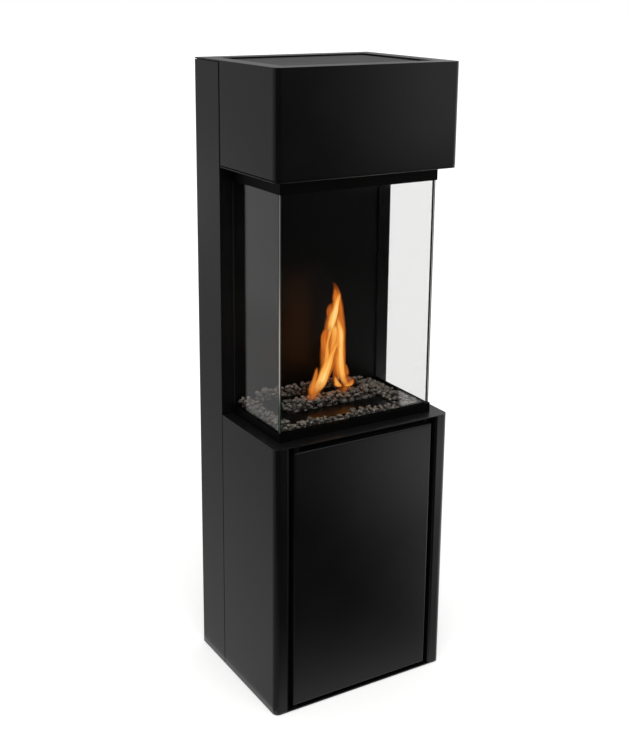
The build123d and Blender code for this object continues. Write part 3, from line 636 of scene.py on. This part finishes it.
def screw_shell(length):
    """Points of a screw along +Y, its head's underside at y = 0, and the number of its rings.

    The thread is a saw-tooth wave of the turn plus the way along, one pitch from crest to crest.
    The hexagon's radius is its half width over the cosine of the angle to the nearest flat's
    middle.
    """
    angle = 2 * np.pi * np.arange(facets) / facets
    steps = max(3, int(length / (pitch / 4)))
    along = np.linspace(-length + 0.0003, -0.0002, steps)[:, None]
    wave = np.abs(((along / pitch + angle / (2 * np.pi)) % 1.0) - 0.5) * 2
    shank = 0.0020 - 0.00028 * wave
    hexagon = 0.00125 / np.cos((angle + np.pi / 6) % (np.pi / 3) - np.pi / 6)
    # The domed head's outline in millimetres: the way along and the radius.
    outline = ((0, 2.0), (0, 3.9), (0.2, 4.0), (0.8, 3.9), (1.4, 3.5), (1.9, 2.8), (2.2, 2.0))
    head = np.array(outline) / 1000
    socket = [head_height, 0.0010, 0.0009]
    y = np.concatenate(([-length], along[:, 0], head[:, 0], socket))
    way = np.repeat(y[:, None], facets, axis=1)
    tip = np.full((1, facets), 0.0015)
    dome = np.repeat(head[:, 1:], facets, axis=1)
    radius = np.vstack((tip, shank, dome, hexagon, hexagon, hexagon * 0.6))
    ring = np.stack((radius * np.sin(angle), way, radius * np.cos(angle)), axis=2)
    poles = [(0.0, -length, 0.0), (0.0, 0.0008, 0.0)]
    return np.vstack((ring.reshape(-1, 3), poles)), len(radius)


print("a screw of 8 mm has", screw_shell(0.008)[1], "rings")

# %% Screws in their places
for name, body, columns, lines in (
    ("rear_cover_screws", "root", 2, 5),
    ("latch_screws", "root", 1, 2),
    ("strike_screws", "door", 1, 2),
):
    low, high = (np.array(corner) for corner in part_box(name))
    points, rings = screw_shell(high[1] - low[1] - head_height)
    faces = outward(points, shell_faces(rings, facets))
    spots = [
        (x, high[1] - head_height, z)
        for x in np.linspace(low[0] + head_radius, high[0] - head_radius, columns)
        for z in np.linspace(low[2] + head_radius, high[2] - head_radius, lines)
    ]
    every = (points[None] + np.array(spots)[:, None]).reshape(-1, 3)
    all_faces = copies(len(points), faces, len(spots))
    screws = new_piece("button_head_" + name, every, all_faces, zinc, smooth=False)
    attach(screws, body)
    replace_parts(screws, name)
    print(screws.name, len(spots), "screws of", len(faces), "faces")

# %% [markdown]
# ## Latch spring
#
# The plunger's spring is a coil of 0.8 mm wire, wound with a closed turn at each end so that it
# stands square. The wire's middle runs on a helix, and a circle of points is swept along it. In the
# latch the coil shortens towards the bottom of its bore when the door presses the plunger in. Here
# it is built at one length and does not shorten.

# %% Coil spring
low, high = (np.array(corner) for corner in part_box("latch_spring"))
middle = (low + high) / 2
# The wire's radius, and the radius of the helix that its middle runs on.
wire = 0.0004
coil_radius = (high[0] - low[0]) / 2 - wire
turns, per_turn, round_wire = 7, 28, 8
length = high[1] - low[1]
turn = np.linspace(0, turns, turns * per_turn + 1)
# The way along rises by one wire in the first and in the last turn, and evenly between them.
way = np.interp(turn, (0, 1, turns - 1, turns), (wire, 3 * wire, length - 3 * wire, length - wire))
circle = 2 * np.pi * np.arange(round_wire) / round_wire
swing = 2 * np.pi * turn[:, None]
radius = coil_radius + wire * np.cos(circle)
coil_points = np.stack(
    (
        middle[0] + radius * np.cos(swing),
        low[1] + way[:, None] + wire * np.sin(circle),
        middle[2] + radius * np.sin(swing),
    ),
    axis=2,
)
caps = coil_points[[0, -1]].mean(axis=1)
coil_points = np.vstack((coil_points.reshape(-1, 3), caps))
coil_faces = outward(coil_points, shell_faces(len(turn), round_wire))
coil = new_piece("coil_latch_spring", coil_points, coil_faces, spring_wire)
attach(coil, "root")
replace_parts(coil, "latch_spring")
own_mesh(coil)
print(coil.name, turns, "turns of", len(coil_faces), "faces")

# %% [markdown]
# ## Pebbles
#
# The bed is basalt: lava chips and dark river pebbles, 10 to 22 mm across. Each pebble is a ball of
# 5 rings that three slow waves make uneven, flattened and turned. An attribute on its points makes
# some pebbles darker and browner than others, at random. It also paints light and shade on each:
# the top paler as a painted highlight and the foot darker as painted shade. Noise mottles it.

# %% Pebble material
pebble_stone, tree, output = new_material("basalt_pebbles")
place = node(tree, "ShaderNodeTexCoord").outputs["Object"]
tone_and_top_light = node(tree, "ShaderNodeAttribute", attribute_name="tone_and_top_light")
mottle = node(
    tree,
    "ShaderNodeTexNoise",
    {"Vector": place, "Scale": 1 / 0.0045, "Detail": 6.0, "Roughness": 0.7},
)
grit = node(tree, "ShaderNodeTexNoise", {"Vector": place, "Scale": 1 / 0.0012, "Detail": 3.0})
# From painted shade at a pebble's foot to a painted highlight at its top, scaled by its random
# tone.
stone_shade = node(
    tree,
    "ShaderNodeMix",
    {0: tone_and_top_light.outputs["Fac"], 6: linear("#0c0a09"), 7: linear("#857a72")},
    data_type="RGBA",
)
patches = node(tree, "ShaderNodeMapRange", {"Value": mottle, "From Min": 0.53, "From Max": 0.68})
speckled = node(
    tree,
    "ShaderNodeMix",
    {0: patches, 6: stone_shade.outputs[2], 7: linear("#b4aaa0")},
    data_type="RGBA",
)
relief = node(tree, "ShaderNodeBump", {"Height": grit, "Strength": 0.8, "Distance": 0.0010})
stone = node(
    tree,
    "ShaderNodeBsdfPrincipled",
    {"Base Color": speckled.outputs[2], "Roughness": 0.45, "Normal": relief},
)
tree.links.new(stone.outputs[0], output.inputs["Surface"])
print("pebble material")

# %% [markdown]
# To heap the pebbles, a map of heights covers the tray in 1 mm squares. For each pebble we try a
# few places, take the one where the heap is furthest below the height it should reach, and set the
# pebble on what already lies there. The loop runs over pebbles, and each pebble's points are one
# array.


# %% Pebble shapes
ball_rings, ball_around = 5, 8


def pebble_balls(rng, half_sizes, turns, middles):
    """Points of uneven balls, as an array (pebble, point, 3).

    On the unit ball, the radius is 1 plus three cosine waves across it. The ball is then stretched
    to its three half sizes, turned and moved to its middle.
    """
    count = len(half_sizes)
    polar = np.pi * (np.arange(ball_rings) + 0.75) / (ball_rings + 0.5)
    turn = 2 * np.pi * np.arange(ball_around) / ball_around
    ring = np.stack(
        (
            np.outer(np.sin(polar), np.cos(turn)),
            np.outer(np.sin(polar), np.sin(turn)),
            np.outer(np.cos(polar), np.ones(ball_around)),
        ),
        axis=2,
    ).reshape(-1, 3)
    ball = np.vstack((ring, (0, 0, 1), (0, 0, -1)))
    waves = rng.normal(0, 1.6, (count, 3, 3))
    phase = rng.uniform(0, 2 * np.pi, (count, 3, 1))
    radius = 1 + 0.12 * np.cos(waves @ ball.T + phase).sum(axis=1)
    points = ball[None] * radius[:, :, None] * half_sizes[:, None, :]
    return np.einsum("nij,npj->npi", turns, points) + middles[:, None, :]


def tilts(rng, count, most):
    """Rotation matrices: a free turn about Z, then a tilt of up to most radians about X."""
    spin = rng.uniform(0, 2 * np.pi, count)
    lean = rng.uniform(-most, most, count)
    cs, sn, cl, sl = np.cos(spin), np.sin(spin), np.cos(lean), np.sin(lean)
    zero, one = np.zeros(count), np.ones(count)
    about_z = np.stack((cs, -sn, zero, sn, cs, zero, zero, zero, one), axis=1).reshape(-1, 3, 3)
    about_x = np.stack((one, zero, zero, zero, cl, -sl, zero, sl, cl), axis=1).reshape(-1, 3, 3)
    return about_x @ about_z


print("pebbles of", len(shell_faces(ball_rings, ball_around)), "faces")

# %% [markdown]
# The heights to reach come from the picture: a low strip in front and at the sides, a heap against
# the back wall that falls to the right, and a mound in the burner's slot.

# %% Map of heights
square = 0.001
tray_low, tray_high = (np.array(corner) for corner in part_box("stone_tray"))
bed_floor = float(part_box("tray_stones_front")[0][2])
plate_low, plate_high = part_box("burner_top_plate")
mesh_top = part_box("wool_mesh")[1][2]
grid_shape = tuple(int(round(n)) for n in (tray_high[:2] - tray_low[:2]) / square)
bed_x = tray_low[0] + (np.arange(grid_shape[0])[:, None] + 0.5) * square
bed_y = tray_low[1] + (np.arange(grid_shape[1])[None, :] + 0.5) * square
on_plate = (np.abs(bed_x) < plate_high[0]) & (bed_y > plate_low[1]) & (bed_y < plate_high[1])
# The burner's slot: half its length, and where it starts and ends along Y.
slot_x, slot_y = 0.130, (-0.053, -0.007)
in_slot = (np.abs(bed_x) < slot_x) & (bed_y > slot_y[0]) & (bed_y < slot_y[1])
heap = np.where(in_slot, mesh_top, np.where(on_plate, plate_high[2], bed_floor))
print("map of", " x ".join(str(n) for n in heap.shape), "squares")


# %% Heaping one bed
def heap_pebbles(rng, name, count, x_range, y_range, top, sizes):
    """Sets up to count pebbles into a rectangle of the bed, as one piece.

    Each goes where the heap is lowest below top(x, y), and is left out if it would stand above
    that. It sinks a little between the stones under it: its middle is 0.82 of its half height over
    0.65 of their highest point plus 0.35 of their mean. The map then rises to its dome: z plus size
    times the square root of 1 - away, away being the squared distance from its middle in pebble
    radii.
    """
    reach = rng.uniform(*sizes, count)
    half_sizes = np.column_stack(
        (reach, reach * rng.uniform(0.68, 0.95, count), reach * rng.uniform(0.5, 0.8, count))
    )
    middles = np.zeros((count, 3))
    kept, tries = 0, 24
    for i in range(count):
        size = half_sizes[i]
        foot = 0.85 * size[:2].mean()
        tries_x = rng.uniform(x_range[0] + size[0], x_range[1] - size[0], tries)
        tries_y = rng.uniform(y_range[0] + size[0], y_range[1] - size[0], tries)
        best = None
        for x, y in zip(tries_x, tries_y):
            near_x = np.abs(bed_x[:, 0] - x) < foot
            near_y = np.abs(bed_y[0] - y) < foot
            under = heap[np.ix_(near_x, near_y)]
            ground = 0.35 * under.mean() + 0.65 * under.max()
            room = top(x, y) - ground - 1.2 * size[2]
            if best is None or room > best[0]:
                best = (room, x, y, ground)
        room, x, y, ground = best
        if room < 0:
            continue
        z = ground + 0.82 * size[2]
        middles[kept] = (x, y, z)
        half_sizes[kept] = size
        kept += 1
        away = ((bed_x - x) ** 2 + (bed_y - y) ** 2) / (0.5 * (size[0] + size[1])) ** 2
        dome = z + size[2] * np.sqrt(np.clip(1 - away, 0, None))
        np.maximum(heap, np.where(away < 1, dome, 0), out=heap)
    points = pebble_balls(rng, half_sizes[:kept], tilts(rng, kept, 0.45), middles[:kept])
    ball = outward(points[0], shell_faces(ball_rings, ball_around))
    faces = copies(points.shape[1], ball, kept)
    piece = new_piece(name, points.reshape(-1, 3), faces, pebble_stone, smooth=False)
    level = points[:, :, 2]
    # Painted light and shade: the colour rises from each pebble's foot to its top, times a random
    # tone.
    rise = (level - level.min(axis=1, keepdims=True)) / np.ptp(level, axis=1)[:, None]
    tone_and_top_light = (rng.uniform(0.25, 1, kept)[:, None] * (0.06 + 0.94 * rise**2.4)).ravel()
    piece.data.attributes.new("tone_and_top_light", "FLOAT", "POINT").data.foreach_set("value", tone_and_top_light)
    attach(piece, "root")
    print(name, kept, "pebbles, up to", round(float(level.max()) * 1000), "mm")
    return piece


# %% The five beds
rng = np.random.default_rng(7)
# The tray's wall and a little air.
margin = 0.0022
left, right = tray_low[0] + margin, tray_high[0] - margin
front, back = tray_low[1] + margin, tray_high[1] - margin
# Each bed: its piece, the CAD node that it replaces and how many pebbles are tried; its x and y
# ranges, which run a few millimetres over the burner's plate or the slot's rim; the height to
# reach; and the least and largest half length.
beds = (
    (
        ("pebbles_front", "tray_stones_front", 130),
        ((left, right), (front, plate_low[1] + 0.004)),
        lambda x, y: 0.731 + 0.003 * math.sin(40 * x) - 0.07 * max(x - 0.12, 0.0),
        (0.0050, 0.0096),
    ),
    (
        ("pebbles_left", "tray_stones_left", 120),
        ((left, 0.004 - plate_high[0]), (plate_low[1], back)),
        lambda x, y: 0.734 + 0.10 * max(y, 0.0),
        (0.0054, 0.0105),
    ),
    (
        ("pebbles_right", "tray_stones_right", 120),
        ((plate_high[0] - 0.034, right), (plate_low[1] + 0.01, back)),
        lambda x, y: 0.734 - 0.10 * max(x - 0.12, 0.0),
        (0.0050, 0.0096),
    ),
    (
        ("pebbles_back", "tray_stones_back", 160),
        ((-plate_high[0], plate_high[0]), (plate_high[1] - 0.008, back)),
        lambda x, y: 0.752 if x < 0.06 else 0.752 - 0.14 * (x - 0.06),
        (0.0058, 0.0108),
    ),
    (
        ("pebbles_burner", "burner_stones", 220),
        ((-slot_x - 0.004, slot_x + 0.004), (slot_y[0] - 0.003, slot_y[1] + 0.003)),
        lambda x, y: 0.747 - 5.0 * (y + 0.030) ** 2,
        (0.0054, 0.0104),
    ),
)
for (name, stones, count), ranges, top, sizes in beds:
    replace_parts(heap_pebbles(rng, name, count, *ranges, top, sizes), stones)
print(len(beds), "beds")

# %% [markdown]
# ## The flame
#
# A spirit flame is thin sheets of glowing gas that lick round each other: dull orange veils with
# bright yellow licks in front of them, and a thin haze at the feet. Each is a ribbon along a smooth
# path, bent round like a half pipe, that turns a little as it rises. Gas has no hard rim, so a
# ribbon fades out towards its edges and its ends.

# %% Flame material
flame_gas, tree, output = new_material("burning_spirit_vapour")
warmth = node(tree, "ShaderNodeAttribute", attribute_name="warmth")
thick = node(tree, "ShaderNodeAttribute", attribute_name="thickness")
colours = node(tree, "ShaderNodeValToRGB", {"Fac": warmth.outputs["Fac"]})
stops = (
    (0.0, "#3c1a12"),
    (0.2, "#8a3f14"),
    (0.4, "#c96a24"),
    (0.6, "#ea8e38"),
    (0.8, "#fbb656"),
    (1.0, "#ffdc8c"),
)
ramp = colours.color_ramp
while len(ramp.elements) < len(stops):
    ramp.elements.new(0.5)
for element, (position, code) in zip(ramp.elements, stops):
    element.position = position
    element.color = linear(code)
# A picture shows a flame far below its real brightness. So what it lights gets the whole of its
# power, and what mirrors it a fifth of the way from the shown brightness to that.
path = node(tree, "ShaderNodeLightPath").outputs
mirrored = node(tree, "ShaderNodeMath", {0: path["Glossy Depth"], 1: 0.19}, operation="MULTIPLY")
onward = node(tree, "ShaderNodeMath", {0: path["Diffuse Depth"], 1: mirrored}, operation="MAXIMUM")
power = node(tree, "ShaderNodeMapRange", {"Value": onward, "To Min": 1.22, "To Max": 5.0})
shine = node(tree, "ShaderNodeEmission", {"Color": colours, "Strength": power})
gap = node(tree, "ShaderNodeBsdfTransparent")
gas = node(tree, "ShaderNodeMixShader", {0: thick.outputs["Fac"], 1: gap, 2: shine})
tree.links.new(gas.outputs[0], output.inputs["Surface"])
print("flame material with", len(stops), "colours")

# %% [markdown]
# A ribbon's rows are x, z and half width in millimetres, as the picture shows them above the
# burner's slot, and the heat of its middle in percent. It also has the y of its foot and of its
# top, and how dense its gas is. Its place in the list sets the phase of its waves.

# %% Lines of the flame
ribbons = {
    "veil_low": ((-22, -22), 0.72, [
        (-33, 748, 10.5, 28), (-22, 768, 16, 34), (-7, 792, 18.5, 40), (5, 817, 21, 44),
        (13, 842, 25, 48), (16, 868, 26.5, 50), (17, 894, 24, 50), (19, 920, 21, 48),
        (22, 946, 18.5, 44), (25, 971, 14.5, 40),
    ]),
    "veil_high": ((-24, -24), 0.85, [
        (25, 940, 16, 40), (26, 961, 14, 42), (26, 982, 11.5, 44), (25, 997, 10.5, 44),
        (23, 1009, 8.5, 34), (20, 1019, 6, 20), (16, 1029, 4, 8), (11, 1038, 2.5, 2),
    ]),
    "veil_right": ((-24, -24), 0.85, [
        (61, 754, 8, 45), (52, 772, 10.5, 42), (43, 795, 12, 42), (39, 819, 11.5, 42),
        (40, 846, 9.5, 42), (40, 872, 8.5, 42), (40, 899, 8, 42), (38, 925, 7, 42),
        (35, 952, 6.5, 40), (33, 978, 5.5, 44), (31, 999, 4, 44),
    ]),
    "left_lobe": ((-20, -20), 0.9, [
        (-8, 831, 2.5, 25), (-10, 847, 4, 30), (-12, 864, 7, 36), (-12, 879, 8.5, 42),
        (-11, 895, 8.5, 40), (-7, 909, 7, 36), (0, 919, 2.5, 30),
    ]),
    "high_lobe": ((-20, -20), 0.9, [
        (9, 910, 2.5, 20), (8, 924, 4, 25), (6.5, 937, 6.5, 30), (5, 950, 8, 32),
        (5.5, 963, 8, 34), (8, 974, 6.5, 26), (14, 984, 2.5, 18),
    ]),
    "left_leg": ((-34, -34), 0.95, [
        (-51, 748, 7, 48), (-45, 760, 10.5, 72), (-35, 771, 12.5, 84), (-26, 783, 13, 90),
        (-19, 798, 13, 92), (-13, 811, 12, 86), (-6, 825, 10.5, 82), (-1, 838, 9, 78),
        (5, 852, 7, 72), (12, 865, 5.5, 68), (17, 879, 4, 64), (21, 893, 3, 60),
    ]),
    "left_lick": ((-31, -31), 0.9, [
        (-14, 806, 6, 62), (-11, 822, 7, 66), (-9, 837, 6.5, 70), (-8, 856, 5.5, 70),
        (-8.5, 871, 4.5, 68), (-7, 884, 4, 66), (-3.5, 897, 3.5, 66), (0, 909, 4.5, 72),
        (4, 920, 6, 80),
    ]),
    "core": ((-33, -33), 0.95, [
        (-2, 902, 4.5, 64), (2, 918, 8.5, 84), (6, 934, 11, 92), (10.5, 949, 10, 96),
        (14.5, 964, 8, 96), (17, 977, 6.5, 90), (20, 990, 5, 78), (23, 1001, 3.5, 64),
        (24, 1010, 2, 52),
    ]),
    "right_leg": ((-29, -29), 0.95, [
        (64, 759, 5, 62), (55, 759, 7, 76), (46.5, 771, 8, 74), (40, 789, 8, 78),
        (36, 808, 8, 82), (34, 830, 7.5, 86), (33.5, 851, 7, 86), (33, 872, 7, 86),
        (33, 891, 6.5, 90), (32, 907, 6, 86), (28.5, 920, 5.5, 78), (24.5, 934, 5, 74),
        (21.5, 950, 3.5, 72),
    ]),
    "middle": ((-27, -27), 0.85, [
        (5.5, 836, 3.5, 54), (8.5, 854, 5.5, 60), (12, 872, 6.5, 66), (14.5, 890, 7, 70),
        (16, 909, 7.5, 78), (16.5, 927, 7, 80),
    ]),
    "middle_right": ((-28, -28), 0.8, [
        (26, 857, 3.5, 58), (24.5, 876, 4, 64), (23, 895, 4.5, 68), (21.5, 913, 4.5, 72),
    ]),
    "top_left": ((-27, -27), 0.7, [
        (13.5, 958, 2.5, 44), (14.5, 976, 3, 48), (15.5, 994, 3.5, 50), (15, 1010, 3, 42),
        (14.5, 1020, 2, 30),
    ]),
    "between": ((-26, -26), 0.8, [
        (17.5, 762, 3.5, 10), (19, 781, 6, 18), (21, 799, 6.5, 30), (23, 817, 6.5, 42),
        (24, 836, 6, 46), (24, 857, 5, 48),
    ]),
    "inner_lick": ((-27, -27), 0.7, [
        (31, 774, 2.5, 40), (27.5, 790, 3.5, 52), (25.5, 809, 3.5, 56), (25.5, 828, 3, 60),
        (27.5, 846, 2.5, 62),
    ]),
    "small_left": ((-36, -36), 0.8, [
        (-52, 742, 5, 20), (-54, 753, 7, 34), (-54.5, 766, 8, 50), (-51.5, 780, 7, 58),
        (-48, 793, 5.5, 56), (-44.5, 805, 4.5, 52), (-42.5, 817, 3, 46), (-40.5, 828, 1.5, 36),
    ]),
    "small_right": ((-33, -33), 0.85, [
        (31, 759, 6, 40), (25.5, 764, 8.5, 66), (20.5, 773, 6.5, 76), (17, 782, 4, 66),
        (14.5, 793, 2, 48),
    ]),
    "right_foot": ((-27, -27), 0.85, [
        (47, 757, 5.5, 54), (58, 757, 7.5, 80), (66.5, 762, 6.5, 62), (70.5, 768, 3.5, 42),
        (72, 775, 2, 30),
    ]),
    "right_bulge": ((-24, -24), 0.7, [
        (56.5, 782, 3, 36), (56.5, 793, 4, 42), (55, 803, 3, 40), (52, 816, 2, 38),
    ]),
    "haze_left": ((-37, -37), 0.5, [
        (-64, 738, 10, 24), (-54, 748, 17, 40), (-45, 759, 20, 46), (-36, 772, 17, 44),
        (-27, 790, 10, 30),
    ]),
    "haze_right": ((-33, -33), 0.5, [
        (34, 742, 14, 20), (46, 752, 24, 36), (54, 762, 25, 40), (52, 776, 16, 36),
        (46, 792, 8, 24),
    ]),
}
print(len(ribbons), "ribbons")


# %% Flame shapes
def smooth_rows(rows, count):
    """Rows along a Catmull-Rom curve.

    Each stretch is the cubic through its two ends whose slopes are half the step between their
    neighbours.
    """
    p = np.array(rows, dtype=float)
    p = np.vstack((2 * p[0] - p[1], p, 2 * p[-1] - p[-2]))
    along = np.linspace(0, len(rows) - 1, count)
    i = np.minimum(along.astype(int), len(rows) - 2)
    t = (along - i)[:, None]
    a, b, c, d = (p[i + k] for k in range(4))
    return 0.5 * (
        2 * b + (c - a) * t + (2 * a - 5 * b + 4 * c - d) * t**2 + (3 * b - a - 3 * c + d) * t**3
    )


def smooth_step(x):
    """3x squared - 2x cubed from 0 to 1, level at both ends, and 0 or 1 outside them."""
    x = np.clip(x, 0, 1)
    return x * x * (3 - 2 * x)


# Where the slot's middle lies along Y, how wide a ribbon's rim is outside and across its edge, and
# the density up to which gas is a haze that has no inside.
slot_middle, outer_rim, whole_rim, haze = -0.028, 0.002, 0.004, 0.5


def ribbon(depths, density, rows, phase, across=17):
    """Points (row, column, 3), heat and thickness of a ribbon.

    Its cross-section is an arc of 160 degrees, level on the path, turned about Z by -22 degrees and
    a slow wave, and 6 percent wider and narrower in turn. Seen from the front a column stands at s
    times the half width and the outer rim, and s runs from -1 to 1. The thickness falls from full
    to 0 over the whole rim, or in a haze all the way from the middle, and it rises and falls
    towards the ends. The heat falls with exp(-(s / 0.7) squared). The path's distance from the
    slot's middle is doubled along the photograph's line of sight, so the flame gets its depth and
    keeps its outline.
    """
    count = 8 * len(rows)
    line = smooth_rows(rows, count)
    t = np.linspace(0, 1, count)
    half = np.maximum(line[:, 2], 0.8) * (1 + 0.06 * np.sin(17 * t + phase)) / 1000
    reach = half + outer_rim
    arc = np.radians(np.linspace(-80, 80, across))
    side = np.sin(arc) / math.sin(math.radians(80))
    bulge = np.cos(arc)
    facing = math.radians(-22) + 0.35 * np.sin(3 * t + phase)
    aside = side[None] * reach[:, None]
    ahead = 0.8 * (bulge[None] - 1) * reach[:, None]
    path_x = line[:, 0] / 1000
    path_z = line[:, 1] / 1000
    path_y = np.interp(t, (0, 1), depths) / 1000
    slide = (path_y - slot_middle) / (path_y - camera.location[1])
    path_x = path_x + slide * (path_x - camera.location[0])
    path_z = path_z + slide * (path_z - camera.location[2])
    path_y = 2 * path_y - slot_middle
    x = path_x[:, None] + aside * np.cos(facing)[:, None] + ahead * np.sin(facing)[:, None]
    y = path_y[:, None] + aside * np.sin(facing)[:, None] - ahead * np.cos(facing)[:, None]
    z = np.repeat(path_z[:, None], across, axis=1)
    rim_width = whole_rim if density > haze else reach[:, None]
    rim = smooth_step((reach[:, None] - np.abs(aside)) / rim_width)
    ends = smooth_step(np.interp(t, (0, 0.24, 0.84, 1), (0, 1, 1, 0)))
    glow = np.exp(-((side / 0.7) ** 2))[None]
    streak = 0.05 * np.sin(9 * side[None] + 5 * t[:, None] + phase)
    heat = line[:, 3:4] / 100 * (0.66 + 0.38 * glow) + streak
    return np.stack((x, y, z), axis=2), np.clip(heat, 0, 1), rim * ends[:, None] * density


print("a ribbon of 5 rows has", ribbon((0, 0), 1, [(0, 0, 1, 0)] * 5, 0)[1].size, "points")

# %% The flame's ribbons
for number, (name, (depths, density, rows)) in enumerate(ribbons.items()):
    points, heat, thickness = ribbon(depths, density, rows, number)
    faces = sheet_faces(*heat.shape)
    piece = new_piece("flame_" + name, points.reshape(-1, 3), faces, flame_gas)
    for label, values in (("warmth", heat), ("thickness", thickness)):
        piece.data.attributes.new(label, "FLOAT", "POINT").data.foreach_set("value", values.ravel())
    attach(piece, "root")
    print(piece.name, len(faces), "faces up to", round(float(points[:, :, 2].max()) * 1000), "mm")

# %% [markdown]
# ## Finish
#
# The last cell prints that the scene is built.

# %% Finish
print("the scene is built")
